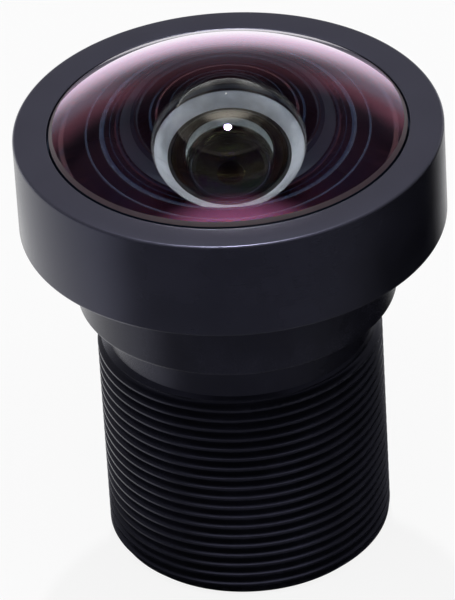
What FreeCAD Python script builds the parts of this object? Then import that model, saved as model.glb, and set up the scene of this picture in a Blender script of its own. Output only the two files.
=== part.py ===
"""Board camera lens: a threaded barrel with its glass, spacers, stops and rings.

Millimetres. The origin is the centre of the barrel's rear end face and +Z runs along the optical axis
towards the front glass. Every piece is a body of revolution about Z, apart from its slots.
"""
import FreeCAD, Part
import math
import os

# Outside of the barrel, from the rear end up
THREAD_RADIUS = 6.0          # crest of the M12 x 0.5 thread, modelled plain
THREAD_LENGTH = 9.75         # from the rear end to the last crest
LEAD_CHAMFER = 0.4           # on the rear end of the thread
NECK_RADIUS = 5.6            # relief behind the thread
NECK_LENGTH = 1.8
NECK_CHAMFER_HEIGHT = 0.4    # from the last crest in to the neck
COLLAR_RADIUS = 6.7
COLLAR_HEIGHT = 3.5
EDGE_BEVEL = 0.15            # on the outer edges of collar and cap

# Front lens, a negative meniscus; every radius of the head follows from it
DOME_RADIUS = 7.25           # polished front surface
DOME_CURVE = 13.0            # its radius of curvature
DOME_STAND = 0.15            # edge of the dome above the rim face
GROUND_BEVEL = 0.15          # round the edge of the dome
LIP_STEP = 0.5               # from the rim face down to the ground step under the lip
FRONT_LENS_EDGE = 1.4        # from that step down to the seat
BOWL_CURVE = 4.47            # radius of curvature of the bowl at the back
BOWL_DEPTH = 3.48

# Front cap and the barrel's head inside it
CAP_HEIGHT = 4.35
CAP_WALL = 0.62
OPENING_GAP = 0.08           # between the lip and the glass inside it
OPENING_BEVEL = 0.08
LIP_GRIP = 0.27              # how far the lip reaches over the glass's step
HEAD_WALL = 0.48             # barrel's wall round the front lens
HEAD_WALL_HEIGHT = 1.2       # of that wall above the seat
SCREW_CLEARANCE = 0.03       # between the plain screw surfaces of two rings
LENS_CLEARANCE = 0.02        # round every lens, spacer and washer

# Seal between the seat and the front lens
SEAL_CORD = 0.7              # diameter of the seal's cord before it is squeezed
SEAL_SQUEEZE = 0.15          # how much flatter the groove makes it
SEAL_GROOVE_WIDTH = 0.8
SEAL_INSET = 1.0             # from the edge of the front lens in to the groove

# Second lens, in the front pocket with the funnel above it and the stop and baffle below it
SECOND_LENS_RADIUS = 4.98
FRONT_SPACER_HEIGHT = 2.15
BOWL_MARGIN = 0.06           # of the front spacer's wide end round the bowl's mouth
POLISH_MARGIN = 0.25         # of its narrow end round the second lens's polished area
SECOND_LENS_EDGE = 1.54
SECOND_LENS_FRONT = (5.0, 3.8)     # radius of curvature and radius of the polished area
SECOND_BOWL_CURVE = 3.4
SECOND_BOWL_DEPTH = 2.24
WASHER_THICKNESS = 0.1
WASHER_MARGIN = 0.05         # how far the front light stop reaches into the second bowl's mouth
BAFFLE_HEIGHT = 0.6
BAFFLE_MOUTH = 3.5           # bore of its topmost step
BAFFLE_STEPS = 3
BAFFLE_STEP_WIDTH = 0.2
LIP_BORE = 3.0               # inner lip of the barrel, between the front pocket and the rear stack
LIP_HEIGHT = 0.4

# Bores behind the inner lip, and the stack that they hold
FRONT_BORE = 3.77            # third lens and the spacer in front of the stop
MIDDLE_BORE = 4.12           # aperture stop to the spacer in front of the last lens
REAR_BORE = 4.42             # last lens to the retaining ring
THIRD_LENS_EDGE = 1.2
THIRD_LENS_FRONT = (8.0, 2.7)
THIRD_LENS_BACK = (-10.0, 2.7)
BEFORE_STOP_HEIGHT = 1.0
BEFORE_STOP_BORE = 3.0
IRIS_RADIUS = 0.95
STOP_THICKNESS = 0.1
AFTER_STOP_HEIGHT = 1.0
AFTER_STOP_BORE = 3.1
DOUBLET_FRONT_EDGE = 0.5
DOUBLET_REAR_EDGE = 2.5
DOUBLET_FRONT = (9.0, 2.9)
DOUBLET_JOINT_CURVE = -8.0         # cemented surface, right across the pair
DOUBLET_BACK = (12.0, 2.9)
MIDDLE_WASHER_BORE = 3.0
REAR_SPACER_HEIGHT = 0.8
REAR_SPACER_BORE = 3.35
REAR_LENS_EDGE = 1.2
REAR_LENS_FRONT = (9.0, 3.2)
REAR_LENS_BACK = (-13.0, 3.4)
REAR_WASHER_BORE = 3.55
RETAINER_HEIGHT = 1.6
RETAINER_BORE = 3.7
RETAINER_SLOT_WIDTH = 0.8
RETAINER_SLOT_DEPTH = 0.6

# Filter in the rear face
FILTER_POCKET_RADIUS = 4.8
FILTER_POCKET_DEPTH = 2.0
FILTER_THICKNESS = 0.4
FILTER_RING_HEIGHT = 0.6
FILTER_RING_BORE = 4.1

AXIS = FreeCAD.Vector(0, 0, 1)
ORIGIN = FreeCAD.Vector(0, 0, 0)


def point(radius, height):
    """Point of a section, in the XZ plane."""
    return FreeCAD.Vector(radius, 0, height)


def turned(edges):
    """Solid made by turning a closed section of edges once round Z."""
    solid = Part.Face(Part.Wire(edges)).revolve(ORIGIN, AXIS, 360)
    if solid.Volume < 0:
        solid.reverse()
    return solid


def turned_corners(corners):
    """Solid turned from a section with straight sides, given as (radius, height) corners."""
    points = [point(radius, height) for radius, height in corners]
    return turned(Part.makePolygon(points + points[:1]).Edges)


def ring(bore, radius, bottom, top):
    """Plain ring of rectangular section."""
    return turned_corners([(bore, bottom), (radius, bottom), (radius, top), (bore, top)])


def sag(curve, radius):
    """Height of a surface's vertex over its edge; a curve above zero has its centre on the rear side."""
    return math.copysign(abs(curve) - math.sqrt(curve**2 - radius**2), curve)


def surface_arc(curve, radius, edge_height):
    """Section of a polished surface, from its vertex on the axis out to its edge."""
    vertex = edge_height + sag(curve, radius)
    halfway = point(radius / 2, vertex - sag(curve, radius / 2))
    return Part.Arc(point(0, vertex), halfway, point(radius, edge_height)).toShape()


def line(start, end):
    """Straight edge of a section between two (radius, height) corners."""
    return Part.LineSegment(point(*start), point(*end)).toShape()


def mouth_radius(curve, depth):
    """Radius of a bowl's mouth, from its radius of curvature and its depth."""
    return math.sqrt(curve**2 - (curve - depth) ** 2)


def lens(front, back, rim):
    """Lens from its polished surfaces and the corners of its rim.

    front and back are (curve, polished radius); rim runs from the front surface's edge to the back one's.
    """
    front_edge, back_edge = rim[0][1], rim[-1][1]
    edges = [surface_arc(*front, front_edge)]
    edges += [line(start, end) for start, end in zip(rim, rim[1:])]
    edges.append(surface_arc(*back, back_edge))
    edges.append(line((0, back_edge + sag(*back)), (0, front_edge + sag(*front))))
    return turned(edges)


def disc_lens(front, back, radius, front_height, back_height):
    """Lens with a flat ground rim round each polished surface that doesn't reach its edge."""
    front_rim = [(front[1], front_height), (radius, front_height)]
    back_rim = [(radius, back_height), (back[1], back_height)]
    return lens(front, back, list(dict.fromkeys(front_rim + back_rim)))


# Heights of the outside
neck_bottom = THREAD_LENGTH + NECK_CHAMFER_HEIGHT
collar_bottom = neck_bottom + NECK_LENGTH
cap_bottom = collar_bottom + COLLAR_HEIGHT
rim_height = cap_bottom + CAP_HEIGHT

# Heights of the front lens and of what lies below it, from the front down
dome_edge = rim_height + DOME_STAND
lip_underside = rim_height - LIP_STEP
seat = lip_underside - FRONT_LENS_EDGE
head_top = seat + HEAD_WALL_HEIGHT
second_front = seat - FRONT_SPACER_HEIGHT
second_back = second_front - SECOND_LENS_EDGE
front_washer_back = second_back - WASHER_THICKNESS
lip_top = front_washer_back - BAFFLE_HEIGHT
third_front = lip_top - LIP_HEIGHT
third_back = third_front - THIRD_LENS_EDGE
stop_front = third_back - BEFORE_STOP_HEIGHT
stop_back = stop_front - STOP_THICKNESS
doublet_front = stop_back - AFTER_STOP_HEIGHT
doublet_joint = doublet_front - DOUBLET_FRONT_EDGE
doublet_back = doublet_joint - DOUBLET_REAR_EDGE
middle_washer_back = doublet_back - WASHER_THICKNESS
rear_front = middle_washer_back - REAR_SPACER_HEIGHT
rear_back = rear_front - REAR_LENS_EDGE
rear_washer_back = rear_back - WASHER_THICKNESS
retainer_back = rear_washer_back - RETAINER_HEIGHT
filter_back = FILTER_POCKET_DEPTH - FILTER_THICKNESS

# Radii that follow from a fit, from the glass outwards
glass_wall = DOME_RADIUS + GROUND_BEVEL
opening_radius = glass_wall + OPENING_GAP
front_lens_radius = opening_radius + LIP_GRIP
seat_bore = front_lens_radius + LENS_CLEARANCE
head_radius = seat_bore + HEAD_WALL
cap_bore = head_radius + SCREW_CLEARANCE
cap_radius = cap_bore + CAP_WALL
groove_outer = front_lens_radius - SEAL_INSET
groove_inner = groove_outer - SEAL_GROOVE_WIDTH
seal_height = SEAL_CORD - SEAL_SQUEEZE
bowl_radius = mouth_radius(BOWL_CURVE, BOWL_DEPTH)
second_bowl_radius = mouth_radius(SECOND_BOWL_CURVE, SECOND_BOWL_DEPTH)
front_washer_bore = second_bowl_radius - WASHER_MARGIN
pocket_bore = SECOND_LENS_RADIUS + LENS_CLEARANCE
front_fit = FRONT_BORE - LENS_CLEARANCE
middle_fit = MIDDLE_BORE - LENS_CLEARANCE
rear_fit = REAR_BORE - LENS_CLEARANCE
filter_fit = FILTER_POCKET_RADIUS - LENS_CLEARANCE


def make_barrel():
    """Threaded tube with neck, collar, head, stepped bores and the seats of every lens."""
    outside = [
        (FILTER_POCKET_RADIUS, 0),
        (THREAD_RADIUS - LEAD_CHAMFER, 0),
        (THREAD_RADIUS, LEAD_CHAMFER),
        (THREAD_RADIUS, THREAD_LENGTH),
        (NECK_RADIUS, neck_bottom),
        (NECK_RADIUS, collar_bottom),
        (COLLAR_RADIUS - EDGE_BEVEL, collar_bottom),
        (COLLAR_RADIUS, collar_bottom + EDGE_BEVEL),
        (COLLAR_RADIUS, cap_bottom),
        (head_radius, cap_bottom),
        (head_radius, head_top),
    ]
    inside = [
        (seat_bore, head_top),
        (seat_bore, seat),
        (groove_outer, seat),
        (groove_outer, seat - seal_height),
        (groove_inner, seat - seal_height),
        (groove_inner, seat),
        (pocket_bore, seat),
        (pocket_bore, lip_top),
        (LIP_BORE, lip_top),
        (LIP_BORE, third_front),
        (FRONT_BORE, third_front),
        (FRONT_BORE, stop_front),
        (MIDDLE_BORE, stop_front),
        (MIDDLE_BORE, rear_front),
        (REAR_BORE, rear_front),
        (REAR_BORE, FILTER_POCKET_DEPTH),
        (FILTER_POCKET_RADIUS, FILTER_POCKET_DEPTH),
    ]
    return turned_corners(outside + inside)


def make_front_cap():
    """Screw-on ring whose lip holds the front lens down by its ground step."""
    return turned_corners([
        (cap_bore, cap_bottom),
        (cap_radius - EDGE_BEVEL, cap_bottom),
        (cap_radius, cap_bottom + EDGE_BEVEL),
        (cap_radius, rim_height - EDGE_BEVEL),
        (cap_radius - EDGE_BEVEL, rim_height),
        (opening_radius + OPENING_BEVEL, rim_height),
        (opening_radius, rim_height - OPENING_BEVEL),
        (opening_radius, lip_underside),
        (cap_bore, lip_underside),
    ])


def make_front_lens():
    """Domed front glass with its ground bevel, the step under the cap's lip and a deep bowl."""
    rim = [
        (DOME_RADIUS, dome_edge),
        (glass_wall, dome_edge - GROUND_BEVEL),
        (glass_wall, lip_underside),
        (front_lens_radius, lip_underside),
        (front_lens_radius, seat),
        (bowl_radius, seat),
    ]
    return lens((DOME_CURVE, DOME_RADIUS), (BOWL_CURVE, bowl_radius), rim)


def make_front_seal():
    """O-ring squeezed flat between the floor of its groove and the front lens."""
    centre = (groove_inner + groove_outer) / 2
    half_flat = SEAL_CORD / 4
    bottom = seat - seal_height
    middle = seat - seal_height / 2
    return turned_corners([
        (centre - half_flat, bottom),
        (centre + half_flat, bottom),
        (centre + SEAL_CORD / 2, middle),
        (centre + half_flat, seat),
        (centre - half_flat, seat),
        (centre - SEAL_CORD / 2, middle),
    ])


def make_front_spacer():
    """Ring between the front lens and the second one, with a bore that narrows like a funnel."""
    return turned_corners([
        (bowl_radius + BOWL_MARGIN, seat),
        (SECOND_LENS_RADIUS, seat),
        (SECOND_LENS_RADIUS, second_front),
        (SECOND_LENS_FRONT[1] + POLISH_MARGIN, second_front),
    ])


def make_front_baffle():
    """Ring under the second lens, with a staircase bore that narrows towards the barrel's inner lip."""
    tread = BAFFLE_HEIGHT / BAFFLE_STEPS
    stairs = []
    for step in range(BAFFLE_STEPS):
        bore = BAFFLE_MOUTH - step * BAFFLE_STEP_WIDTH
        stairs.append((bore, front_washer_back - step * tread))
        stairs.append((bore, front_washer_back - (step + 1) * tread))
    return turned_corners(stairs + [(SECOND_LENS_RADIUS, lip_top), (SECOND_LENS_RADIUS, front_washer_back)])


def make_doublet():
    """The two halves of the cemented pair, which share one curved surface."""
    joint = (DOUBLET_JOINT_CURVE, middle_fit)
    return {
        "doublet_front_lens": disc_lens(DOUBLET_FRONT, joint, middle_fit, doublet_front, doublet_joint),
        "doublet_rear_lens": disc_lens(joint, DOUBLET_BACK, middle_fit, doublet_joint, doublet_back),
    }


def make_rear_retaining_ring():
    """Ring that clamps the stack, with two slots for a spanner across its rear face."""
    blank = ring(RETAINER_BORE, rear_fit, retainer_back, rear_washer_back)
    corner = FreeCAD.Vector(-REAR_BORE, -RETAINER_SLOT_WIDTH / 2, retainer_back)
    slots = Part.makeBox(2 * REAR_BORE, RETAINER_SLOT_WIDTH, RETAINER_SLOT_DEPTH, corner)
    return blank.cut(slots)


second_bowl = (SECOND_BOWL_CURVE, second_bowl_radius)
pieces = {
    "barrel": make_barrel(),
    "front_cap": make_front_cap(),
    "front_lens": make_front_lens(),
    "front_seal": make_front_seal(),
    "spacer_front": make_front_spacer(),
    "second_lens": disc_lens(SECOND_LENS_FRONT, second_bowl, SECOND_LENS_RADIUS, second_front, second_back),
    "light_stop_front": ring(front_washer_bore, SECOND_LENS_RADIUS, front_washer_back, second_back),
    "front_baffle": make_front_baffle(),
    "third_lens": disc_lens(THIRD_LENS_FRONT, THIRD_LENS_BACK, front_fit, third_front, third_back),
    "spacer_before_stop": ring(BEFORE_STOP_BORE, front_fit, stop_front, third_back),
    "aperture_stop": ring(IRIS_RADIUS, middle_fit, stop_back, stop_front),
    "spacer_after_stop": ring(AFTER_STOP_BORE, middle_fit, doublet_front, stop_back),
    "light_stop_middle": ring(MIDDLE_WASHER_BORE, middle_fit, middle_washer_back, doublet_back),
    "spacer_rear": ring(REAR_SPACER_BORE, middle_fit, rear_front, middle_washer_back),
    "rear_lens": disc_lens(REAR_LENS_FRONT, REAR_LENS_BACK, rear_fit, rear_front, rear_back),
    "light_stop_rear": ring(REAR_WASHER_BORE, rear_fit, rear_washer_back, rear_back),
    "rear_retaining_ring": make_rear_retaining_ring(),
    "ir_filter": Part.makeCylinder(filter_fit, FILTER_THICKNESS, point(0, filter_back)),
    "filter_ring": ring(FILTER_RING_BORE, filter_fit, filter_back - FILTER_RING_HEIGHT, filter_back),
}
pieces.update(make_doublet())

os.makedirs("parts", exist_ok=True)
for name, solid in pieces.items():
    solid.exportStep(os.path.join("parts", name + ".step"))
    print(f"{name}: volume {solid.Volume:.3f} mm3, valid {solid.isValid()}, solids {len(solid.Solids)}")
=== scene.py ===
"""Board camera lens: its cut thread, real glass and finishes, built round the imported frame.

Sizes here are millimetres out from the optical axis Z and up along it. MM turns them into Blender's metres.
"""

import logging
import math
from dataclasses import dataclass
from enum import Enum
from typing import Any, Iterable, Sequence

import bmesh
import bpy
from mathutils import Matrix, Vector


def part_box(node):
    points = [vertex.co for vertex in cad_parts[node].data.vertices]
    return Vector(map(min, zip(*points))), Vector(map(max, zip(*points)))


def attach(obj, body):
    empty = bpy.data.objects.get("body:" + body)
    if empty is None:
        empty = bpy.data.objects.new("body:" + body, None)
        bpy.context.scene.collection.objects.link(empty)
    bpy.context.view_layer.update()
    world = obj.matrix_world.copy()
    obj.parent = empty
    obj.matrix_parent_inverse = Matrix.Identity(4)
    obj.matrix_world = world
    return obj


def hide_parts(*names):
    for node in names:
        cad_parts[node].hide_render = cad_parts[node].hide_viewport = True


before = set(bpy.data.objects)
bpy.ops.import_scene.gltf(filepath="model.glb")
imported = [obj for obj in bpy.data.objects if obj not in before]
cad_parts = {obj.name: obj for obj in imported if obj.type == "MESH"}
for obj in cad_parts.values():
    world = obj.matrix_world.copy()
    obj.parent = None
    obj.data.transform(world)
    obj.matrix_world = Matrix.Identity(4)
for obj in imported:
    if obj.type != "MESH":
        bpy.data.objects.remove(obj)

MM = 0.001
BODY = "root"
SHARP_ANGLE = math.radians(28)
THIN_SHARE = 0.3  # of a thin ring's height, the most that rounds one of its edges
WELD_DISTANCE = 0.001  # vertices nearer than this become one
IMAGE_HEIGHT = 600  # pixels of the photograph's long side
SENSOR = 36.0  # width of Blender's sensor, which is laid along that side

Colour = tuple[float, float, float]
Pair = tuple[float, float]
Material = bpy.types.Material
Mesh = bpy.types.Mesh
log = logging.getLogger("board_lens")


class Value:
    """A socket of a node tree, with Python's arithmetic for sockets that carry a number."""

    def __init__(self, graph: "Graph", socket: bpy.types.NodeSocket) -> None:
        """Wraps an output socket of a tree."""
        self.graph = graph
        self.socket = socket

    def other(self, output: str) -> "Value":
        """Another output of the same node, by its name."""
        return Value(self.graph, self.socket.node.outputs[output])

    def __add__(self, other: "Value | float") -> "Value":
        """Sum."""
        return self.graph.math("ADD", self, other)

    def __sub__(self, other: "Value | float") -> "Value":
        """Difference."""
        return self.graph.math("SUBTRACT", self, other)

    def __rsub__(self, other: float) -> "Value":
        """Difference from a plain number."""
        return self.graph.math("SUBTRACT", other, self)

    def __mul__(self, other: "Value | float") -> "Value":
        """Product."""
        return self.graph.math("MULTIPLY", self, other)

    def __truediv__(self, other: "Value | float") -> "Value":
        """Quotient."""
        return self.graph.math("DIVIDE", self, other)

    __radd__ = __add__
    __rmul__ = __mul__

    def held(self, low: "Value | float" = 0.0, high: "Value | float" = 1.0) -> "Value":
        """The number held between two others."""
        return self.graph.math("MINIMUM", self.graph.math("MAXIMUM", self, low), high)


class Graph:
    """A node tree that is being built: of a material, of the world or of Geometry Nodes."""

    def __init__(self, tree: bpy.types.NodeTree) -> None:
        """Takes the empty tree that gets the nodes."""
        self.tree = tree

    def add(
        self, kind: str, sockets: dict[str | int, Any] | None = None, output: str | int = 0, **settings: Any,
    ) -> Value | None:
        """Adds one node.

        Args:
            kind: the node's type.
            sockets: a value or link for each input, by identifier, name or place.
            output: the output to return, in the same way.
            settings: the node's properties, which are set first.

        Returns:
            The chosen output, or None where the node has none.
        """
        node = self.tree.nodes.new(kind)
        for name, value in settings.items():
            setattr(node, name, value)
        for key, value in (sockets or {}).items():
            self._feed(self._pick(node.inputs, key), value)
        return Value(self, self._pick(node.outputs, output)) if len(node.outputs) else None

    @staticmethod
    def _pick(sockets: Sequence[bpy.types.NodeSocket], key: str | int) -> bpy.types.NodeSocket:
        """The socket that a key names."""
        named = {socket.identifier: socket for socket in sockets}
        return named.get(key) or sockets[key]

    def _feed(self, socket: bpy.types.NodeSocket, value: Any) -> None:
        """Links a socket to a Value or sets its own value.

        Args:
            socket: a node's input.
            value: a Value to link, or what the input holds.
        """
        if isinstance(value, Value):
            self.tree.links.new(value.socket, socket)
        elif isinstance(socket, bpy.types.NodeSocketColor) and len(value) == 3:
            socket.default_value = (*value, 1.0)
        else:
            socket.default_value = value

    def math(self, operation: str, *terms: Value | float) -> Value:
        """A Math node on up to three numbers."""
        return self.add("ShaderNodeMath", dict(enumerate(terms)), operation=operation)

    def blend(self, share: Value | float, first: Value | Colour, second: Value | Colour) -> Value:
        """A colour between two others; share 1 gives the second."""
        sockets = {"Factor_Float": share, "A_Color": first, "B_Color": second}
        return self.add("ShaderNodeMix", sockets, "Result_Color", data_type="RGBA")

    def ramp(self, value: Value, start: float, end: float) -> Value:
        """A number that goes smoothly from 0 at start to 1 at end."""
        sockets = {"Value": value, 1: start, 2: end, 3: 0.0, 4: 1.0}
        return self.add("ShaderNodeMapRange", sockets, interpolation_type="SMOOTHSTEP")

    def vector(self, x: Value | float, y: Value | float, z: Value | float) -> Value:
        """A vector from three numbers."""
        return self.add("ShaderNodeCombineXYZ", {"X": x, "Y": y, "Z": z})

    def noise(self, vector: Value, scale: float, detail: float = 2.0) -> Value:
        """Noise from 0 to 1 over a vector in millimetres, with scale features in each."""
        return self.add("ShaderNodeTexNoise", {"Vector": vector, "Scale": scale, "Detail": detail})


class MaterialGraph(Graph):
    """The tree of one material, with the coordinates of a turned piece."""

    def __init__(self, name: str) -> None:
        """Makes the material.

        Args:
            name: the material's name.
        """
        self.material = bpy.data.materials.new(name)
        self.material.use_nodes = True
        super().__init__(self.material.node_tree)
        self.tree.nodes.clear()
        place = self.add("ShaderNodeTexCoord", None, "Object")
        self.place = self.add("ShaderNodeVectorMath", {"Vector": place, "Scale": 1 / MM}, operation="SCALE")
        x = self.add("ShaderNodeSeparateXYZ", {"Vector": self.place}, "X")
        y, self.height = x.other("Y"), x.other("Z")
        self.radius = self.math("SQRT", x * x + y * y)

    def near_circle(self, radius: float, height: float, reach: float) -> Value:
        """A mask that falls from 1 on a circle round the axis to 0 at reach from it."""
        out, up = self.radius - radius, self.height - height
        return 1.0 - self.ramp(self.math("SQRT", out * out + up * up), 0.0, reach)

    def bump(self, height: Value, depth: float) -> Value:
        """A normal bent by a height from 0 to 1 that stands for a depth in millimetres."""
        return self.add("ShaderNodeBump", {"Strength": 1.0, "Distance": depth * MM, "Height": height}, "Normal")

    def shader(self, **sockets: Any) -> Value:
        """A Principled shader; underscores in the names stand for spaces."""
        named = {name.replace("_", " "): value for name, value in sockets.items()}
        return self.add("ShaderNodeBsdfPrincipled", named)

    def done(self, surface: Value) -> Material:
        """Connects the surface and gives back the finished material."""
        self.add("ShaderNodeOutputMaterial", {"Surface": surface})
        return self.material

    def matt(self, colour: Value, gloss: Pair, grain: Value, grit: Pair) -> Material:
        """Finishes the material of a matt surface with a grain.

        Args:
            colour: its colour.
            gloss: its roughness and its specular level.
            grain: noise from 0 to 1.
            grit: how much the grain changes the roughness, and its depth in millimetres.

        Returns:
            The finished material.
        """
        (roughness, specular), (change, depth) = gloss, grit
        return self.done(self.shader(
            Base_Color=colour,
            Roughness=roughness + (grain - 0.5) * change,
            Specular_IOR_Level=specular,
            Normal=self.bump(grain, depth),
        ))


@dataclass(frozen=True)
class Edge:
    """A turned edge painted lighter as a circle round the axis: partly wear from handling, partly a painted
    highlight.
    """

    radius: float
    height: float
    reach: float = 0.12


@dataclass(frozen=True)
class Anodised:
    """Black anodised aluminium, with turning marks, a fine blasted grain, edges painted lighter for wear and a
    painted highlight, and a top face painted lighter as painted light.
    """

    name: str
    colour: Colour = (0.010, 0.010, 0.016)
    # colour of the worn edges and their painted highlight, and of the turning marks' lighter lines
    wear_and_highlight: Colour = (0.045, 0.046, 0.06)
    roughness: float = 0.26
    specular: float = 0.3
    sheen: Colour = (0.62, 0.63, 1.0)  # tint of the specular reflection
    metallic: float = 0.0
    mark_pitch: float = 0.11
    mark_depth: float = 0.0006
    grain_depth: float = 0.0005
    mottle: Pair = (0.72, 1.35)  # how much darker and lighter its clouds are
    edges: tuple[Edge, ...] = ()
    face: Colour | None = None  # of the flat top face, painted lighter as painted light
    face_height: float = 0.0
    face_fade: float = 0.12

    def material(self) -> Material:
        """Builds the material.

        Returns:
            The material.
        """
        graph = MaterialGraph(self.name)
        rings = graph.vector(graph.radius, graph.height * 1.13, 0.0)
        marks = graph.noise(rings, 1 / self.mark_pitch, 3.0)
        grain = graph.noise(graph.place, 28.0, 2.0)
        clouds = graph.noise(graph.place, 0.35, 3.0)
        edge_breakup = graph.noise(graph.place, 5.0, 4.0)
        dark, light = (tuple(channel * share for channel in self.colour) for share in self.mottle)
        colour = graph.blend(graph.ramp(clouds, 0.3, 0.7), dark, light)
        colour = graph.blend(marks * 0.08, colour, self.wear_and_highlight)
        # Painted light: the flat top face, and the last face_fade below it, take the lighter face colour.
        if self.face:
            share = graph.ramp(graph.height, self.face_height - self.face_fade, self.face_height)
            colour = graph.blend(share, colour, self.face)
        # Edges painted lighter round the axis: partly wear, partly a painted highlight where they catch the lamps.
        wear_and_highlight_mask = 0.0
        for edge in self.edges:
            wear_and_highlight_mask = graph.near_circle(edge.radius, edge.height, edge.reach) + wear_and_highlight_mask
        if self.edges:
            colour = graph.blend((wear_and_highlight_mask * graph.ramp(edge_breakup, 0.35, 0.75) * 0.7).held(), colour, self.wear_and_highlight)
        roughness = self.roughness + (clouds - 0.5) * 0.10 + (grain - 0.5) * 0.08
        height = marks * (self.mark_depth / self.grain_depth) + grain
        return graph.done(graph.shader(
            Base_Color=colour,
            Roughness=roughness,
            Metallic=self.metallic,
            Specular_IOR_Level=self.specular,
            Specular_Tint=self.sheen,
            Normal=graph.bump(height, self.grain_depth),
        ))


@dataclass(frozen=True)
class Glance:
    """A coating's reflection that grows as the surface turns away from the eye."""

    colour: Colour
    start: float  # degrees from square on where it sets in
    full: float  # and where it is complete
    share: float = 1.0  # of the light that it reflects there
    roughness: float = 0.0


@dataclass(frozen=True)
class CoatedGlass:
    """Polished glass under a thin anti-reflection film. Shadow rays pass, so lamps light what is behind it."""

    name: str
    index: float
    film: float  # thickness of the film, in nanometres
    film_index: float = 1.38
    tint: Colour = (0.97, 0.98, 0.985)
    gloss: Colour = (1.0, 1.0, 1.0)  # share of the mirror image that the film leaves
    glances: tuple[Glance, ...] = ()

    def material(self) -> Material:
        """Builds the material.

        Returns:
            The material.
        """
        graph = MaterialGraph(self.name)
        smear = graph.noise(graph.place, 0.6, 3.0)
        tint = graph.blend(graph.ramp(smear, 0.35, 0.7), self.tint, tuple(channel * 0.985 for channel in self.tint))
        glass = graph.shader(
            Base_Color=tint,
            Roughness=0.0,
            IOR=self.index,
            Specular_Tint=self.gloss,
            Transmission_Weight=1.0,
            Thin_Film_Thickness=self.film,
            Thin_Film_IOR=self.film_index,
        )
        for glance in self.glances:
            facing = graph.add("ShaderNodeLayerWeight", {"Blend": 0.5}, "Facing")
            outside = 1.0 - graph.add("ShaderNodeNewGeometry", None, "Backfacing")
            start, full = (1 - math.cos(math.radians(angle)) for angle in (glance.start, glance.full))
            sockets = {"Color": glance.colour, "Roughness": glance.roughness}
            mirror = graph.add("ShaderNodeBsdfAnisotropic", sockets)
            share = graph.ramp(facing, start, full) * outside * glance.share
            glass = graph.add("ShaderNodeMixShader", {0: share, 1: glass, 2: mirror})
        clear = graph.add("ShaderNodeBsdfTransparent", {"Color": (0.92, 0.93, 0.94)})
        shadow = graph.add("ShaderNodeLightPath", None, "Is Shadow Ray")
        return graph.done(graph.add("ShaderNodeMixShader", {0: shadow, 1: glass, 2: clear}))


@dataclass(frozen=True)
class GroundGlass:
    """Fine-ground glass that has been left unpainted, such as a bevel."""

    name: str
    colour: Colour
    shade: Colour
    gloss: Pair = (0.4, 0.5)
    grit: Pair = (0.2, 0.0015)

    def material(self) -> Material:
        """Builds the material.

        Returns:
            The material.
        """
        graph = MaterialGraph(self.name)
        grain = graph.noise(graph.place, 22.0, 3.0)
        clouds = graph.noise(graph.place, 1.2, 3.0)
        share = graph.ramp(grain, 0.3, 0.75) * 0.55 + graph.ramp(clouds, 0.35, 0.8) * 0.45
        return graph.matt(graph.blend(share, self.colour, self.shade), self.gloss, grain, self.grit)


@dataclass(frozen=True)
class Ink:
    """Matt black paint on the edge of a lens, brushed on in thin streaks."""

    name: str
    colour: Colour = (0.003, 0.003, 0.0035)
    thin: Colour = (0.008, 0.007, 0.007)
    gloss: Pair = (0.62, 0.2)
    grit: Pair = (0.15, 0.001)

    def material(self) -> Material:
        """Builds the material.

        Returns:
            The material.
        """
        graph = MaterialGraph(self.name)
        streaks = graph.noise(graph.vector(graph.radius * 3.0, graph.height * 3.0, graph.radius), 4.0, 3.0)
        colour = graph.blend(graph.ramp(streaks, 0.4, 0.8), self.colour, self.thin)
        return graph.matt(colour, self.gloss, graph.noise(graph.place, 18.0, 2.0), self.grit)


@dataclass(frozen=True)
class RimPaint:
    """Paint on the underside and the edge of the front lens, seen through its glass: navy and slate, with a red ring
    that is a painted glow.
    """

    name: str
    inner: Colour = (0.005, 0.013, 0.034)
    # red ring: a painted glow of the light that comes through the glass
    ring: Colour = (0.045, 0.011, 0.014)
    wall: Colour = (0.085, 0.105, 0.15)
    red_glow_reach: tuple[float, float, float, float] = (5.2, 5.8, 6.1, 6.3)
    wall_start: Pair = (7.6, 7.74)
    gloss: Pair = (0.5, 0.1)
    grit: Pair = (0.15, 0.0005)

    def material(self) -> Material:
        """Builds the material.

        Returns:
            The material.
        """
        graph = MaterialGraph(self.name)
        blotches = graph.noise(graph.place, 0.7, 3.0)
        rings = graph.noise(graph.vector(graph.radius, 0.0, 0.0), 5.0, 2.0)
        start, full, hold, end = self.red_glow_reach
        # the painted red glow, in a band of radii and broken up by blotches
        ring = graph.ramp(graph.radius, start, full) * (1.0 - graph.ramp(graph.radius, hold, end))
        colour = graph.blend(ring * graph.ramp(blotches, 0.25, 0.6), self.inner, self.ring)
        colour = graph.blend(graph.ramp(graph.radius, *self.wall_start), colour, self.wall)
        colour = graph.blend(graph.ramp(rings, 0.55, 0.75) * 0.18, colour, self.wall)
        return graph.matt(colour, self.gloss, graph.noise(graph.place, 18.0, 2.0), self.grit)


@dataclass(frozen=True)
class Moulded:
    """Black plastic, film or rubber with a fine moulded grain."""

    name: str
    colour: Colour
    gloss: Pair
    grain_scale: float = 14.0
    grit: Pair = (0.12, 0.002)

    def material(self) -> Material:
        """Builds the material.

        Returns:
            The material.
        """
        graph = MaterialGraph(self.name)
        clouds = graph.noise(graph.place, 0.8, 2.0)
        light = tuple(channel * 1.6 + 0.001 for channel in self.colour)
        colour = graph.blend(graph.ramp(clouds, 0.3, 0.75), self.colour, light)
        return graph.matt(colour, self.gloss, graph.noise(graph.place, self.grain_scale, 3.0), self.grit)


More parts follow.
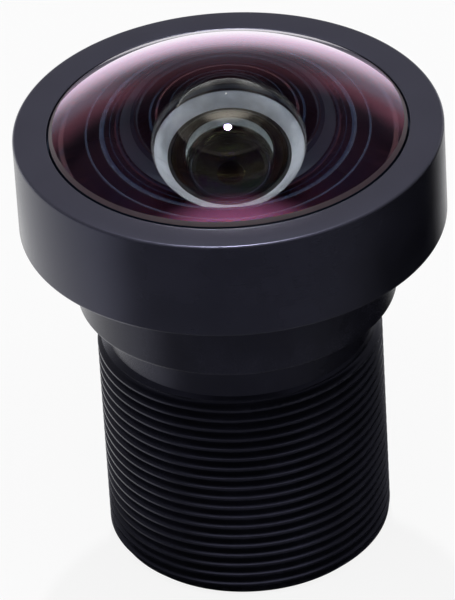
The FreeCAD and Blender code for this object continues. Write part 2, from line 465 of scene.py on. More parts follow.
class Slot(Enum):
    """The names of the record's material slots, one for each kind of piece made here."""

    BARREL = "barrel_anodised"
    CAP = "cap_anodised"
    INNER = "inner_anodised"
    FRONT_GLASS = "coated_front_glass"
    INNER_GLASS = "coated_inner_glass"
    FILTER = "filter_glass"
    FILM = "black_film"
    FILTER_RING = "filter_ring_plastic"
    SPACER = "spacer_clear_anodised"


@dataclass(frozen=True)
class Span:
    """Where a CAD node lies: its lowest and highest height and its outer radius."""

    bottom: float
    top: float
    radius: float

    @classmethod
    def of(cls, node: str) -> "Span":
        """The span of a node, from the frame."""
        low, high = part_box(node)
        return cls(low.z / MM, high.z / MM, high.x / MM)


@dataclass(frozen=True)
class Corner:
    """A corner of a section: its place, how far the rounding runs from it, and the finish that follows it."""

    radius: float
    height: float
    soft: float = 0.0
    finish: int = 0


def sag(curve: float, radius: float) -> float:
    """Height of a surface's vertex over its edge; a curve above zero has its centre on the rear side."""
    return math.copysign(abs(curve) - math.sqrt(curve**2 - radius**2), curve)


def polished(curve: float, radius: float, edge: float, steps: int, finish: int = 0) -> list[Corner]:
    """Section of a polished surface.

    Args:
        curve: its radius of curvature; above zero the centre is on the rear side.
        radius: how far out it is polished.
        edge: the height of its edge.
        steps: the number of points along it.
        finish: the index of its finish.

    Returns:
        Corners from the vertex on the axis out to the edge.
    """
    vertex = edge + sag(curve, radius)
    places = [radius * math.sin(math.pi / 2 * step / steps) for step in range(steps + 1)]
    return [Corner(place, vertex - sag(curve, place), 0.0, finish) for place in places]


def softened(corners: Sequence[Corner], steps: int = 4) -> list[Corner]:
    """Rounds the corners that ask for it.

    Args:
        corners: a closed section.
        steps: the number of edges that each rounding gets.

    Returns:
        The section with its rounded corners written out.
    """
    rounded = []
    for place, corner in enumerate(corners):
        if not corner.soft:
            rounded.append(corner)
            continue
        tip = Vector((corner.radius, corner.height))
        before, after = corners[place - 1], corners[(place + 1) % len(corners)]
        start = tip + (Vector((before.radius, before.height)) - tip).normalized() * corner.soft
        end = tip + (Vector((after.radius, after.height)) - tip).normalized() * corner.soft
        for step in range(steps + 1):
            share = step / steps
            at = start * (1 - share) ** 2 + tip * 2 * share * (1 - share) + end * share**2
            finish = before.finish if share < 0.5 else corner.finish
            rounded.append(Corner(at.x, at.y, 0.0, finish))
    return rounded


def turned_mesh(node: str, section: Sequence[Corner], segments: int, closed: bool = True) -> Mesh:
    """Turns a section once round the axis.

    Args:
        node: the node that the mesh stands for.
        section: its corners in order.
        segments: the number of steps round the axis.
        closed: whether the last corner joins the first.

    Returns:
        The mesh, in metres, with each face's finish as its material index.
    """
    angles = [2 * math.pi * step / segments for step in range(segments)]
    turns = [(math.cos(angle), math.sin(angle)) for angle in angles]
    points, rows = [], []
    for corner in section:
        first = len(points)
        if corner.radius < WELD_DISTANCE:
            points.append((0.0, 0.0, corner.height * MM))
            rows.append([first] * segments)
            continue
        points += [(corner.radius * x * MM, corner.radius * y * MM, corner.height * MM) for x, y in turns]
        rows.append(list(range(first, first + segments)))
    faces, finishes = [], []
    for place in range(len(section) if closed else len(section) - 1):
        row, above = rows[place], rows[(place + 1) % len(section)]
        for step in range(segments):
            ahead = (step + 1) % segments
            face = list(dict.fromkeys((row[step], row[ahead], above[ahead], above[step])))
            if len(face) > 2:
                faces.append(face)
                finishes.append(section[place].finish)
    mesh = bpy.data.meshes.new(node + "_piece")
    mesh.from_pydata(points, [], faces)
    mesh.polygons.foreach_set("material_index", finishes)
    return mesh


def welded(mesh: Mesh) -> Mesh:
    """The mesh with its doubles merged, its faces turned outwards and its sharp edges marked.

    Args:
        mesh: a mesh, which is changed.

    Returns:
        The same mesh.
    """
    shell = bmesh.new()
    shell.from_mesh(mesh)
    bmesh.ops.remove_doubles(shell, verts=shell.verts, dist=WELD_DISTANCE * MM)
    bmesh.ops.recalc_face_normals(shell, faces=shell.faces)
    shell.to_mesh(mesh)
    shell.free()
    mesh.shade_smooth()
    mesh.set_sharp_from_angle(angle=SHARP_ANGLE)
    return mesh


def place(mesh: Mesh, node: str, slot: Slot, finishes: Iterable[Material]) -> None:
    """Puts a mesh in the scene instead of its CAD node.

    Args:
        mesh: the mesh, in metres in the frame.
        node: the node that it stands for.
        slot: the record's slot of its main finish; not used.
        finishes: its materials in the order of the section's finish numbers.
    """
    piece = bpy.data.objects.new(node + "_piece", welded(mesh))
    bpy.context.scene.collection.objects.link(piece)
    for finish in finishes:
        mesh.materials.append(finish)
    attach(piece, BODY)
    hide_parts(node)
    log.info("%s: %d faces", piece.name, len(mesh.polygons))


def dress_node(node: str, finish: Material) -> None:
    """Gives a CAD node that stays its finish.

    Args:
        node: its name.
        finish: its material.
    """
    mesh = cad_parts[node].data
    mesh.materials.clear()
    mesh.materials.append(finish)
    log.info("%s: the CAD solid, dressed", node)


class Finishes:
    """Every material of the lens, each built once."""

    def __init__(self) -> None:
        """Builds the materials. The spans of the barrel and the cap place their worn edges with painted highlights.
        """
        barrel, cap, crest = Span.of("barrel"), Span.of("front_cap"), ThreadedBarrel.thread_radius
        # Edges of the collar, the thread's end and the rear, painted lighter: wear and painted highlights.
        self.barrel = Anodised("barrel_black", edges=(
            Edge(ThreadedBarrel.collar_radius, cap.bottom - ThreadedBarrel.collar_height),
            Edge(crest, ThreadedBarrel.thread_end, 0.1),
            Edge(crest - 0.2, barrel.bottom + 0.2, 0.3),
        )).material()
        self.cap = Anodised(
            "cap_black", roughness=0.24, specular=0.58,
            # rim edges painted lighter: wear and painted highlights
            edges=(Edge(cap.radius, cap.top, 0.14), Edge(cap.radius, cap.bottom, 0.12)),
            # its top face painted lighter: painted light
            face=(0.04, 0.039, 0.054), face_height=cap.top,
        ).material()
        self.inner = Anodised("inner_black", colour=(0.003, 0.003, 0.004), roughness=0.6, specular=0.06).material()
        self.spacer = Anodised(
            "spacer_clear", colour=(0.84, 0.88, 0.97), wear_and_highlight=(0.9, 0.93, 0.98), roughness=0.32, metallic=0.25,
        ).material()
        self.dome_polish = CoatedGlass("front_lens_dome", 1.8, 118.0, 1.38, glances=(
            Glance((0.88, 0.4, 0.48), 56.0, 47.0, 0.035),
            Glance((1.0, 0.05, 0.0), 38.0, 24.0, 0.037),
            Glance((1.0, 0.22, 0.45), 55.0, 61.0, 0.07),
            Glance((0.0, 0.6, 1.0), 61.0, 66.0, 0.05),
            Glance((0.97, 0.72, 0.96), 65.5, 80.0, 0.8),
            Glance((0.98, 0.93, 1.0), 75.0, 83.0),
            Glance((0.98, 0.95, 1.0), 82.0, 85.5, 1.0, 0.4),
        )).material()
        self.bowl_polish = CoatedGlass("front_lens_bowl", 1.8, 64.0, 1.34).material()
        self.second_polish = CoatedGlass(
            "second_lens_polish", 1.63, 112.0, 1.28, (0.58, 0.63, 0.6), (0.4, 0.45, 0.36),
        ).material()
        self.inner_polish = CoatedGlass(
            "inner_lens_polish", 1.62, 106.0, 1.275, (0.8, 0.92, 0.78), (0.4, 0.5, 0.35),
        ).material()
        self.filter = CoatedGlass("filter_polish", 1.52, 260.0, 2.1, (0.55, 0.86, 0.88)).material()
        self.bevel = GroundGlass("front_lens_bevel", (0.07, 0.045, 0.058), (0.04, 0.024, 0.032)).material()
        self.ink = Ink("lens_edge_ink").material()
        self.rim_paint_and_glow = RimPaint("front_lens_paint_and_glow").material()
        self.film = Moulded("stop_film", (0.002, 0.0024, 0.002), (0.7, 0.04), 25.0, (0.12, 0.0008)).material()
        self.filter_ring = Moulded("filter_ring_moulding", (0.016, 0.016, 0.017), (0.5, 0.3)).material()
        self.rubber = Moulded("seal_rubber_skin", (0.012, 0.012, 0.012), (0.45, 0.4), 9.0, (0.12, 0.001)).material()


@dataclass(frozen=True)
class ThreadedBarrel:
    """The barrel: outside thread, neck, collar, head and the stepped bores that hold the glass."""

    thread_radius: float = 6.0
    root_radius: float = 5.7
    pitch: float = 0.5
    first_groove: float = 0.9  # height of the lowest groove where it faces the camera
    groove_azimuth: float = 270.0
    thread_end: float = 9.75
    neck_radius: float = 5.6
    neck_bottom: float = 10.15
    collar_radius: float = 6.7
    collar_height: float = 3.5
    head_radius: float = 8.25
    seat_bore: float = 7.77
    groove_bores: Pair = (5.95, 6.75)
    groove_depth: float = 0.55
    pocket_bore: float = 5.0
    lip_bore: float = 3.0
    lip_height: float = 0.4
    front_bore: float = 3.77
    middle_bore: float = 4.12
    rear_bore: float = 4.42
    filter_bore: float = 4.8
    filter_depth: float = 2.0
    flank: Pair = (1 / 6, 5 / 6)  # where it begins and ends, as shares of the way from a root to a crest
    rows: int = 12  # of the thread's mesh in each pitch
    segments: int = 192
    span: Span = Span.of("barrel")

    def thread_tree(self, finish: Material, sizes: dict[str, float | int]) -> bpy.types.NodeTree:
        """Geometry Nodes that wind the thread's surface as one helical strip.

        Args:
            finish: the material that the tree sets.
            sizes: its inputs in order, lengths in metres.

        Returns:
            The node group.
        """
        tree = bpy.data.node_groups.new("helical_thread", "GeometryNodeTree")
        for name, size in sizes.items():
            kind = "NodeSocketInt" if isinstance(size, int) else "NodeSocketFloat"
            tree.interface.new_socket(name=name, in_out="INPUT", socket_type=kind)
        tree.interface.new_socket(name="Thread", in_out="OUTPUT", socket_type="NodeSocketGeometry")
        graph = Graph(tree)
        given = graph.add("NodeGroupInput")
        crest, root, pitch, start, bottom, top, end, turns, segments, rows = (given.other(name) for name in sizes)
        grid = graph.add("GeometryNodeMeshGrid", {
            "Size X": 1.0, "Size Y": 1.0, "Vertices X": segments * turns + 1, "Vertices Y": rows + 1,
        }, "Mesh")
        across = graph.add("ShaderNodeSeparateXYZ", {"Vector": graph.add("GeometryNodeInputPosition")}, "X")
        wound = (across + 0.5) * turns
        phase = across.other("Y") + 0.5
        off_root = graph.math("ABSOLUTE", phase - 0.5) * 2.0
        flank = graph.ramp(off_root, *self.flank)
        height = start + (wound + phase) * pitch
        held = height.held(bottom, top)
        cut = root + flank * (crest - root)
        lead = graph.math("MINIMUM", held - bottom, top - held)
        radius = graph.math("MINIMUM", cut, end + lead)
        angle = wound * (2 * math.pi)
        spot = graph.vector(radius * graph.math("COSINE", angle), radius * graph.math("SINE", angle), held)
        strip = graph.add("GeometryNodeSetPosition", {"Geometry": grid, "Position": spot})
        sewn = graph.add("GeometryNodeMergeByDistance", {"Geometry": strip, "Distance": 2 * WELD_DISTANCE * MM})
        real = graph.add("GeometryNodeRealizeInstances", {"Geometry": sewn})
        dressed = graph.add("GeometryNodeSetMaterial", {"Geometry": real, "Material": finish})
        graph.add("NodeGroupOutput", {"Thread": dressed})
        return tree

    def thread_mesh(self, finish: Material) -> Mesh:
        """The outside thread with the run-outs at both its ends, as a plain mesh.

        Args:
            finish: its material.

        Returns:
            The mesh, in metres.
        """
        turn_share = self.groove_azimuth / 360 + 0.5
        lowest = self.first_groove - turn_share * self.pitch
        start = lowest - math.ceil((lowest + self.pitch - self.span.bottom) / self.pitch) * self.pitch
        turns = math.ceil((self.neck_bottom - start) / self.pitch)
        sizes = {
            "Crest Radius": self.thread_radius * MM,
            "Root Radius": self.root_radius * MM,
            "Pitch": self.pitch * MM,
            "Start": start * MM,
            "Bottom": self.span.bottom * MM,
            "Top": self.neck_bottom * MM,
            "End Radius": self.neck_radius * MM,
            "Turns": float(turns),
            "Segments": self.segments,
            "Rows": self.rows,
        }
        blank = bpy.data.objects.new("thread_blank", bpy.data.meshes.new("thread_blank"))
        bpy.context.scene.collection.objects.link(blank)
        modifier = blank.modifiers.new("thread", "NODES")
        modifier.node_group = self.thread_tree(finish, sizes)
        for item in modifier.node_group.interface.items_tree:
            if item.name in sizes:
                modifier[item.identifier] = sizes[item.name]
        wound = blank.evaluated_get(bpy.context.evaluated_depsgraph_get())
        mesh = bpy.data.meshes.new_from_object(wound)
        blank.modifiers.remove(modifier)
        bpy.data.objects.remove(blank)
        return mesh

    def body_section(self) -> list[Corner]:
        """Section of everything but the thread, from the top of the neck's chamfer round to the rear face.

        Returns:
            Its corners in order.
        """
        head = Span.of("front_cap").bottom
        collar = head - self.collar_height
        inner, outer = self.groove_bores
        top, seat = self.span.top, Span.of("front_lens").bottom
        lip_top = Span.of("front_baffle").bottom
        third_seat, stop_seat = lip_top - self.lip_height, Span.of("spacer_before_stop").bottom
        rear_seat = Span.of("spacer_rear").bottom
        walls = (  # radius, then start and end, each with its rounding
            (self.neck_radius, self.neck_bottom, 0.0, collar, 0.06),
            (self.collar_radius, collar, 0.14, head, 0.03),
            (self.head_radius, head, 0.0, top, 0.05),
            (self.seat_bore, top, 0.05, seat, 0.0),
            (outer, seat, 0.0, seat - self.groove_depth, 0.0),
            (inner, seat - self.groove_depth, 0.0, seat, 0.0),
            (self.pocket_bore, seat, 0.04, lip_top, 0.0),
            (self.lip_bore, lip_top, 0.05, third_seat, 0.05),
            (self.front_bore, third_seat, 0.0, stop_seat, 0.04),
            (self.middle_bore, stop_seat, 0.0, rear_seat, 0.04),
            (self.rear_bore, rear_seat, 0.0, self.filter_depth, 0.05),
            (self.filter_bore, self.filter_depth, 0.0, self.span.bottom, 0.08),
        )
        corners = []
        for radius, start, start_soft, end, end_soft in walls:
            corners += [Corner(radius, start, start_soft), Corner(radius, end, end_soft)]
        return softened([*corners, Corner(self.neck_radius, self.span.bottom)])

    def build(self, finishes: Finishes) -> None:
        """Makes the barrel and dresses it.

        Args:
            finishes: the lens's materials.
        """
        body = turned_mesh("barrel", self.body_section(), self.segments, closed=False)
        thread = self.thread_mesh(finishes.barrel)
        both = bmesh.new()
        both.from_mesh(thread)
        both.from_mesh(body)
        both.to_mesh(body)
        both.free()
        bpy.data.meshes.remove(thread)
        place(body, "barrel", Slot.BARREL, [finishes.barrel])


@dataclass(frozen=True)
class FrontCap:
    """The wide ring that is screwed on the barrel's head."""

    bore: float = 8.28
    opening: float = 7.48
    lip_height: float = 0.5
    edge: float = 0.14
    segments: int = 256
    span: Span = Span.of("front_cap")

    def build(self, finishes: Finishes) -> None:
        """Makes the cap and dresses it.

        Args:
            finishes: the lens's materials.
        """
        bottom, top, radius = self.span.bottom, self.span.top, self.span.radius
        section = softened([
            Corner(self.bore, bottom, 0.06),
            Corner(radius, bottom, self.edge),
            Corner(radius, top, self.edge),
            Corner(self.opening, top, 0.07),
            Corner(self.opening, top - self.lip_height, 0.03),
            Corner(self.bore, top - self.lip_height),
        ], 6)
        mesh = turned_mesh("front_cap", section, self.segments)
        place(mesh, "front_cap", Slot.CAP, [finishes.cap])


@dataclass(frozen=True)
class FrontGlass:
    """The large domed front lens with its ground bevel, blackened edge and deep bowl."""

    dome_curve: float = 13.0
    dome_radius: float = 7.25
    dome_stand: float = 0.15
    bevel: float = 0.15
    bowl_curve: float = 4.47
    bowl_radius: float = 4.359
    dome_steps: int = 40
    bowl_steps: int = 48
    segments: int = 256
    span: Span = Span.of("front_lens")

    def build(self, finishes: Finishes) -> None:
        """Makes the lens, with finishes dome 0, bevel 1, ink 2 and bowl 3, and dresses the seal below it.

        Args:
            finishes: the lens's materials.
        """
        rim = Span.of("front_cap").top
        shoulder = rim - FrontCap.lip_height
        wall = self.dome_radius + self.bevel
        dome = polished(self.dome_curve, self.dome_radius, rim + self.dome_stand, self.dome_steps)
        bowl = polished(self.bowl_curve, self.bowl_radius, self.span.bottom, self.bowl_steps, 3)
        dome[-1] = Corner(dome[-1].radius, dome[-1].height, 0.0, 1)
        corners = (
            (wall, rim + self.dome_stand - self.bevel), (wall, shoulder),
            (self.span.radius, shoulder), (self.span.radius, self.span.bottom),
        )
        section = dome + [Corner(*corner, 0.0, 2) for corner in corners] + bowl[::-1]
        mesh = turned_mesh("front_lens", section, self.segments)
        finishes_used = [finishes.dome_polish, finishes.bevel, finishes.rim_paint_and_glow, finishes.bowl_polish]
        place(mesh, "front_lens", Slot.FRONT_GLASS, finishes_used)
        dress_node("front_seal", finishes.rubber)


@dataclass(frozen=True)
class DiscLens:
    """A lens of the stack: two polished surfaces in flat rims, with an inked edge."""

    node: str
    front: Pair  # radius of curvature and polished radius
    back: Pair
    front_edge: float  # heights of the two rims
    back_edge: float
    steps: int = 28
    segments: int = 192
    soft: float = 0.03

    def mesh(self) -> Mesh:
        """The lens, with finishes polish 0 and ink 1.

        Returns:
            The mesh, in metres.
        """
        front = polished(*self.front, self.front_edge, self.steps)
        back = polished(*self.back, self.back_edge, self.steps)
        corners = front[:-1] + [Corner(self.front[1], self.front_edge, 0.0, 1)]
        radius = Span.of(self.node).radius
        for (_, reach), edge in ((self.front, self.front_edge), (self.back, self.back_edge)):
            if reach < radius - WELD_DISTANCE:
                corners.append(Corner(radius, edge, self.soft, 1))
        corners.append(Corner(self.back[1], self.back_edge))
        return turned_mesh(self.node, softened(corners, 2) + back[-2::-1], self.segments)

    def build(self, polish: Material, ink: Material) -> None:
        """Makes the lens and dresses it, with ink on its edge and on the flats beside that."""
        place(self.mesh(), self.node, Slot.INNER_GLASS, [polish, ink])


@dataclass(frozen=True)
class StackRing:
    """A spacer, washer or holding ring of the stack."""

    node: str
    bore: float
    soft: float = 0.04
    segments: int = 160
    mouth: Pair | None = None  # radius and rounding of the bore's upper end, where they differ

    def build(self, slot: Slot, finish: Material) -> None:
        """Makes the ring and dresses it.

        Args:
            slot: the record's slot.
            finish: its material.
        """
        span = Span.of(self.node)
        soft = min(self.soft, (span.top - span.bottom) * THIN_SHARE)
        mouth, mouth_soft = self.mouth or (self.bore, soft)
        section = softened([
            Corner(self.bore, span.bottom, soft),
            Corner(span.radius, span.bottom, soft),
            Corner(span.radius, span.top, soft),
            Corner(mouth, span.top, mouth_soft),
        ], 3)
        place(turned_mesh(self.node, section, self.segments), self.node, slot, [finish])


@dataclass(frozen=True)
class FrontPocket:
    """What lies under the front lens: its spacer, the second lens, a light stop and the stepped baffle."""

    front: Pair = (5.0, 3.8)
    bowl: Pair = (3.4, 3.195)
    funnel_top: float = 4.419
    funnel_bottom: float = 4.05
    stop_bore: float = 3.145
    baffle_mouth: float = 3.5
    baffle_steps: int = 3
    baffle_step_width: float = 0.2

    def build(self, finishes: Finishes) -> None:
        """Makes the pocket's four pieces.

        Args:
            finishes: the lens's materials.
        """
        funnel = StackRing("spacer_front", self.funnel_bottom, 0.03, 256, (self.funnel_top, 0.05))
        funnel.build(Slot.SPACER, finishes.spacer)
        rim, back = Span.of("spacer_front").bottom, Span.of("light_stop_front").top
        lens = DiscLens("second_lens", self.front, self.bowl, rim, back, steps=44, segments=256)
        lens.build(finishes.second_polish, finishes.ink)
        StackRing("light_stop_front", self.stop_bore).build(Slot.FILM, finishes.film)
        self.build_baffle(finishes)

    def build_baffle(self, finishes: Finishes) -> None:
        """Makes the ring with the staircase bore.

        Args:
            finishes: the lens's materials.
        """
        span = Span.of("front_baffle")
        tread = (span.top - span.bottom) / self.baffle_steps
        stairs = []
        for step in range(self.baffle_steps):
            bore = self.baffle_mouth - step * self.baffle_step_width
            stairs.append(Corner(bore, span.top - step * tread, 0.02))
            stairs.append(Corner(bore, span.top - (step + 1) * tread))
        section = softened(stairs + [Corner(span.radius, span.bottom, 0.03), Corner(span.radius, span.top, 0.03)], 2)
        mesh = turned_mesh("front_baffle", section, StackRing.segments)
        place(mesh, "front_baffle", Slot.INNER, [finishes.inner])


@dataclass(frozen=True)
class RearStack:
    """What is loaded from the rear: three groups of glass with their spacers, stops and the holding ring."""

    third: tuple[Pair, Pair] = ((8.0, 2.7), (-10.0, 2.7))
    doublet_front: Pair = (9.0, 2.9)
    joint_curve: float = -8.0
    doublet_back: Pair = (12.0, 2.9)
    front_half_edge: float = 0.5
    rear: tuple[Pair, Pair] = ((9.0, 3.2), (-13.0, 3.4))

    spacers: tuple[tuple[str, float], ...] = (
        ("spacer_before_stop", 3.0), ("spacer_after_stop", 3.1), ("spacer_rear", 3.35),
    )
    films: tuple[tuple[str, float], ...] = (
        ("aperture_stop", 0.95), ("light_stop_middle", 3.0), ("light_stop_rear", 3.55),
    )

    def lenses(self) -> Iterable[DiscLens]:
        """The four lenses, from the front to the rear.

        Returns:
            The lenses in that order.
        """
        seat = Span.of("front_baffle").bottom - ThreadedBarrel.lip_height
        yield DiscLens("third_lens", *self.third, seat, Span.of("spacer_before_stop").top)
        top = Span.of("spacer_after_stop").bottom
        middle = top - self.front_half_edge
        joint = (self.joint_curve, Span.of("doublet_front_lens").radius)
        yield DiscLens("doublet_front_lens", self.doublet_front, joint, top, middle)
        yield DiscLens("doublet_rear_lens", joint, self.doublet_back, middle, Span.of("light_stop_middle").top)
        yield DiscLens("rear_lens", *self.rear, Span.of("spacer_rear").bottom, Span.of("light_stop_rear").top)

    def build(self, finishes: Finishes) -> None:
        """Makes every piece of the stack.

        Args:
            finishes: the lens's materials.
        """
        third, *others = self.lenses()
        third.build(finishes.inner_polish, finishes.ink)
        for node, bore in self.spacers:
            StackRing(node, bore).build(Slot.INNER, finishes.inner)
        for node, bore in self.films:
            StackRing(node, bore).build(Slot.FILM, finishes.film)
        for lens in others:
            lens.build(finishes.inner_polish, finishes.ink)
        dress_node("rear_retaining_ring", finishes.inner)


@dataclass(frozen=True)
class FilterGroup:
    """The infrared filter in the rear face and the ring that holds it."""

    ring_bore: float = 4.1
    chamfer: float = 0.05

    def build(self, finishes: Finishes) -> None:
        """Makes the filter and its ring.

        Args:
            finishes: the lens's materials.
        """
        span = Span.of("ir_filter")
        section = softened([
            Corner(0.0, span.bottom),
            Corner(span.radius, span.bottom, self.chamfer),
            Corner(span.radius, span.top, self.chamfer),
            Corner(0.0, span.top),
        ], 2)
        mesh = turned_mesh("ir_filter", section, StackRing.segments, closed=False)
        place(mesh, "ir_filter", Slot.FILTER, [finishes.filter])
        StackRing("filter_ring", self.ring_bore).build(Slot.FILTER_RING, finishes.filter_ring)


@dataclass(frozen=True)
class Softbox:
    """A lamp with a flat diffuser, aimed at the lens."""

    name: str
    azimuth: float  # from the camera's side, to the right
    elevation: float
    distance: float
    width: float
    height: float
    brightness: float  # radiance of its face, where 1 is white
    shape: str = "RECTANGLE"
    feathered: bool = False  # whether it dims from its middle to its edge

    def build(self, target: Vector) -> None:
        """Hangs the lamp.

        Args:
            target: the point that it is aimed at.
        """
        lamp = bpy.data.lights.new(self.name, "AREA")
        lamp.shape = self.shape
        lamp.size, lamp.size_y = self.width * MM, self.height * MM
        face = lamp.size * lamp.size_y * (math.pi / 4 if self.shape == "ELLIPSE" else 1.0)
        lamp.energy = self.brightness * math.pi * face
        if self.feathered:
            self.feather(lamp)
        turn, rise = math.radians(self.azimuth), math.radians(self.elevation)
        away = Vector((math.sin(turn) * math.cos(rise), -math.cos(turn) * math.cos(rise), math.sin(rise)))
        holder = bpy.data.objects.new(self.name, lamp)
        holder.visible_camera = False
        holder.location = target + away * self.distance * MM
        holder.rotation_euler = away.to_track_quat("Z", "Y").to_euler()
        bpy.context.scene.collection.objects.link(holder)

    def feather(self, lamp: bpy.types.AreaLight) -> None:
        """Dims the lamp's face from its middle to its edge.

        Args:
            lamp: the lamp's data.
        """
        lamp.use_nodes = True
        lamp.node_tree.nodes.clear()
        graph = Graph(lamp.node_tree)
        place = graph.add("ShaderNodeNewGeometry", None, "Parametric")
        apart = graph.add("ShaderNodeSeparateXYZ", {"Vector": place}, "X")
        across, along = apart * 2.0 - 1.0, apart.other("Y") * 2.0 - 1.0
        out = graph.math("SQRT", across * across + along * along)
        light = graph.add("ShaderNodeEmission", {"Strength": 1.0 - graph.ramp(out, 0.1, 1.0)})
        graph.add("ShaderNodeOutputLight", {"Surface": light})


@dataclass(frozen=True)
class Studio:
    """The pale floor, the white surroundings, the lamps and the camera."""

    floor_size: float = 1500.0
    floor_drop: float = 0.02
    floor_colour: Colour = (0.86, 0.86, 0.87)
    floor_glow: float = 0.88  # share of the floor that shows as plain white
    ambient: float = 0.18
    bright_azimuth: float = -139.0  # middle of the bright side, from the camera's side, to the right
    floor_reach: Pair = (104.0, 66.0)  # degrees from it where the floor's white ends and is full
    sky_reach: Pair = (118.0, 74.0)  # the same above the floor
    fill_azimuth: float = -12.0  # middle of the dimmer side
    fill_reach: Pair = (95.0, 45.0)
    fill: float = 0.24  # what shiny faces see there, where 1 is white
    horizon: Pair = (9.0, 50.0)  # degrees up where the white backdrop dims and has dimmed
    high: float = 0.08  # how bright it is above that
    back_azimuth: float = 172.0  # middle of the brightest part of the backdrop
    back_reach: Pair = (50.0, 23.0)
    beside: float = 0.45  # how bright the backdrop is beside that
    flag_azimuth: float = 180.0  # middle of a dark card that hangs behind the lens
    flag_reach: Pair = (24.0, 6.0)
    flag_rise: Pair = (0.0, 14.0)  # degrees up from where it fades in
    flag_shade: float = 0.65
    panels: float = 0.27  # brightness of the two high side panels
    panel_side: Pair = (0.25, 0.5)  # how far aside they begin and are full, as a direction's X
    panel_rise: Pair = (24.0, 34.0)
    foot_radius: float = 9.0  # the floor isn't white to shiny faces nearer the axis than this: a painted shadow under the lens
    elevation: float = 34.63
    roll: float = -3.45
    distance: float = 260.0
    pixels_per_mm: float = 23.773  # of the photograph, at the point aimed at
    aim_height: float = 9.40
    aim_aside: float = -0.533
    aim_raised: float = 1.398
    lamps: tuple[Softbox, ...] = (
        Softbox("softbox_left", -130.0, 3.0, 240.0, 160.0, 36.0, 2.0),
        Softbox("softbox_front", 0.0, 74.0, 200.0, 340.0, 110.0, 3.4, feathered=True),
        Softbox("lamp_above", 180.0, 62.4, 300.0, 11.0, 15.0, 1100.0, "ELLIPSE"),
    )

    def build_floor(self) -> None:
        """Lays the floor, which shows white but keeps the lens's shadow."""
        half = self.floor_size / 2 * MM
        mesh = bpy.data.meshes.new("floor")
        low = -self.floor_drop * MM
        corners = [(-half, -half, low), (half, -half, low), (half, half, low), (-half, half, low)]
        mesh.from_pydata(corners, [], [(0, 1, 2, 3)])
        floor = bpy.data.objects.new("floor", mesh)
        bpy.context.scene.collection.objects.link(floor)
        graph = MaterialGraph("floor_paper")
        paper = graph.shader(Base_Color=self.floor_colour, Roughness=0.9, Specular_IOR_Level=0.0)
        apart = graph.add("ShaderNodeSeparateXYZ", {"Vector": graph.place}, "X")
        camera, level = self.surroundings(graph, apart, self.floor_reach)
        # Painted shadow: near the lens's foot, shiny faces and glass see the floor black.
        outside_painted_shadow = graph.ramp(graph.radius, self.foot_radius * 0.8, self.foot_radius)
        white = graph.add("ShaderNodeEmission", {"Strength": camera + level * outside_painted_shadow})
        sockets = {0: camera * self.floor_glow + self.shiny(graph), 1: paper, 2: white}
        mesh.materials.append(graph.done(graph.add("ShaderNodeMixShader", sockets)))

    def shiny(self, graph: Graph) -> Value:
        """1 for rays from shiny faces and through glass.

        Args:
            graph: the tree of the floor or of the world.

        Returns:
            The mask.
        """
        glossy = graph.add("ShaderNodeLightPath", None, "Is Glossy Ray")
        camera, through = glossy.other("Is Camera Ray"), glossy.other("Is Transmission Ray")
        return graph.math("MAXIMUM", glossy, through) * (1.0 - camera)

    def lobe(self, graph: Graph, spot: Value, azimuth: float, reach: Pair) -> Value:
        """A mask of the surroundings on one side of the lens.

        Args:
            graph: the tree of the floor or of the world.
            spot: the X output of the looked-at spot's parts.
            azimuth: the middle of the side, in degrees from the camera's side to the right.
            reach: how many degrees from its middle the side ends, and how many it is full to.

        Returns:
            The mask, from 0 to 1.
        """
        x, y, turn = spot, spot.other("Y"), math.radians(azimuth)
        out = graph.math("SQRT", x * x + y * y) + 1e-6
        end, full = (math.cos(math.radians(angle)) for angle in reach)
        return graph.ramp((x * math.sin(turn) - y * math.cos(turn)) / out, end, full)

    def rise(self, graph: Graph, direction: Value, reach: Pair) -> Value:
        """A mask of the sky that goes from 0 to 1 between two elevations in degrees."""
        return graph.ramp(direction.other("Z"), *(math.sin(math.radians(angle)) for angle in reach))

    def surroundings(self, graph: Graph, spot: Value, reach: Pair) -> tuple[Value, Value]:
        """How bright the camera, and shiny faces and glass, find the surroundings.

        Args:
            graph: the tree of the floor or of the world.
            spot: the X output of the looked-at spot's parts.
            reach: the bright side's, as in lobe.

        Returns:
            The strength of white for the camera, and for shiny faces and glass.
        """
        bright = self.lobe(graph, spot, self.bright_azimuth, reach)
        fill = self.lobe(graph, spot, self.fill_azimuth, self.fill_reach)
        camera = graph.add("ShaderNodeLightPath", None, "Is Camera Ray")
        return camera, graph.math("MAXIMUM", bright, fill * self.fill) * self.shiny(graph)

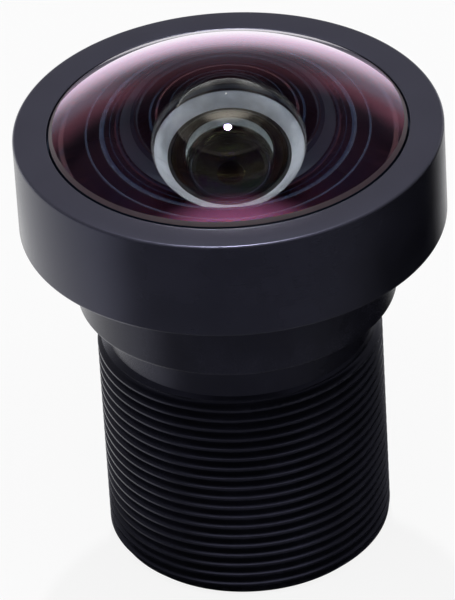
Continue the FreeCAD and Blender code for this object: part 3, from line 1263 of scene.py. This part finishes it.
    def build_world(self) -> None:
        """Surrounds the lens with white for what looks at it, and a plain level for what it lights."""
        world = bpy.data.worlds.new("studio")
        world.use_nodes = True
        world.node_tree.nodes.clear()
        bpy.context.scene.world = world
        graph = Graph(world.node_tree)
        around = graph.add("ShaderNodeTexCoord", None, "Generated")
        spot = graph.add("ShaderNodeSeparateXYZ", {"Vector": around}, "X")
        camera, level = self.surroundings(graph, spot, self.sky_reach)
        dimming = 1.0 - self.rise(graph, spot, self.horizon) * (1.0 - self.high)
        back = self.lobe(graph, spot, self.back_azimuth, self.back_reach)
        dimming = dimming * (back * (1.0 - self.beside) + self.beside)
        card = self.lobe(graph, spot, self.flag_azimuth, self.flag_reach) * self.rise(graph, spot, self.flag_rise)
        dimming = dimming * (1.0 - card * self.flag_shade)
        aside = graph.ramp(graph.math("ABSOLUTE", spot), *self.panel_side)
        panels = aside * self.rise(graph, spot, self.panel_rise)
        shine = graph.math("MAXIMUM", level * dimming, panels * self.panels * self.shiny(graph))
        unseen = 1.0 - camera - self.shiny(graph)
        strength = camera + shine + unseen * self.ambient
        light = graph.add("ShaderNodeBackground", {"Color": (1.0, 1.0, 1.0), "Strength": strength})
        graph.add("ShaderNodeOutputWorld", {"Surface": light})

    def build_camera(self) -> None:
        """Sets the camera up at the photograph's angle."""
        rise, roll = math.radians(self.elevation), math.radians(self.roll)
        away = Vector((0, -math.cos(rise), math.sin(rise)))
        level, upright = Vector((1, 0, 0)), Vector((0, math.sin(rise), math.cos(rise)))
        right = level * math.cos(roll) + upright * math.sin(roll)
        up = upright * math.cos(roll) - level * math.sin(roll)
        aim = Vector((0, 0, self.aim_height)) + right * self.aim_aside + up * self.aim_raised
        data = bpy.data.cameras.new("photo_camera")
        data.sensor_width = SENSOR
        data.lens = self.pixels_per_mm * self.distance * SENSOR / IMAGE_HEIGHT
        data.clip_start, data.clip_end = 0.01, 10.0
        camera = bpy.data.objects.new("photo_camera", data)
        turn = Matrix((right, up, away)).transposed().to_4x4()
        camera.matrix_world = Matrix.Translation((aim + away * self.distance) * MM) @ turn
        bpy.context.scene.collection.objects.link(camera)
        bpy.context.scene.camera = camera

    def build(self) -> None:
        """Sets up the whole studio."""
        bpy.context.scene.view_settings.view_transform = "Standard"
        self.build_camera()
        self.build_floor()
        self.build_world()
        for lamp in self.lamps:
            lamp.build(Vector((0, 0, self.aim_height)) * MM)


def main() -> None:
    """Builds the lens piece by piece, and the studio round it."""
    logging.basicConfig(level=logging.INFO, format="%(name)s %(message)s")
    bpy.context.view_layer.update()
    Studio().build()
    finishes = Finishes()
    for part in (ThreadedBarrel(), FrontCap(), FrontGlass(), FrontPocket(), RearStack(), FilterGroup()):
        part.build(finishes)


if __name__ == "__main__":
    main()
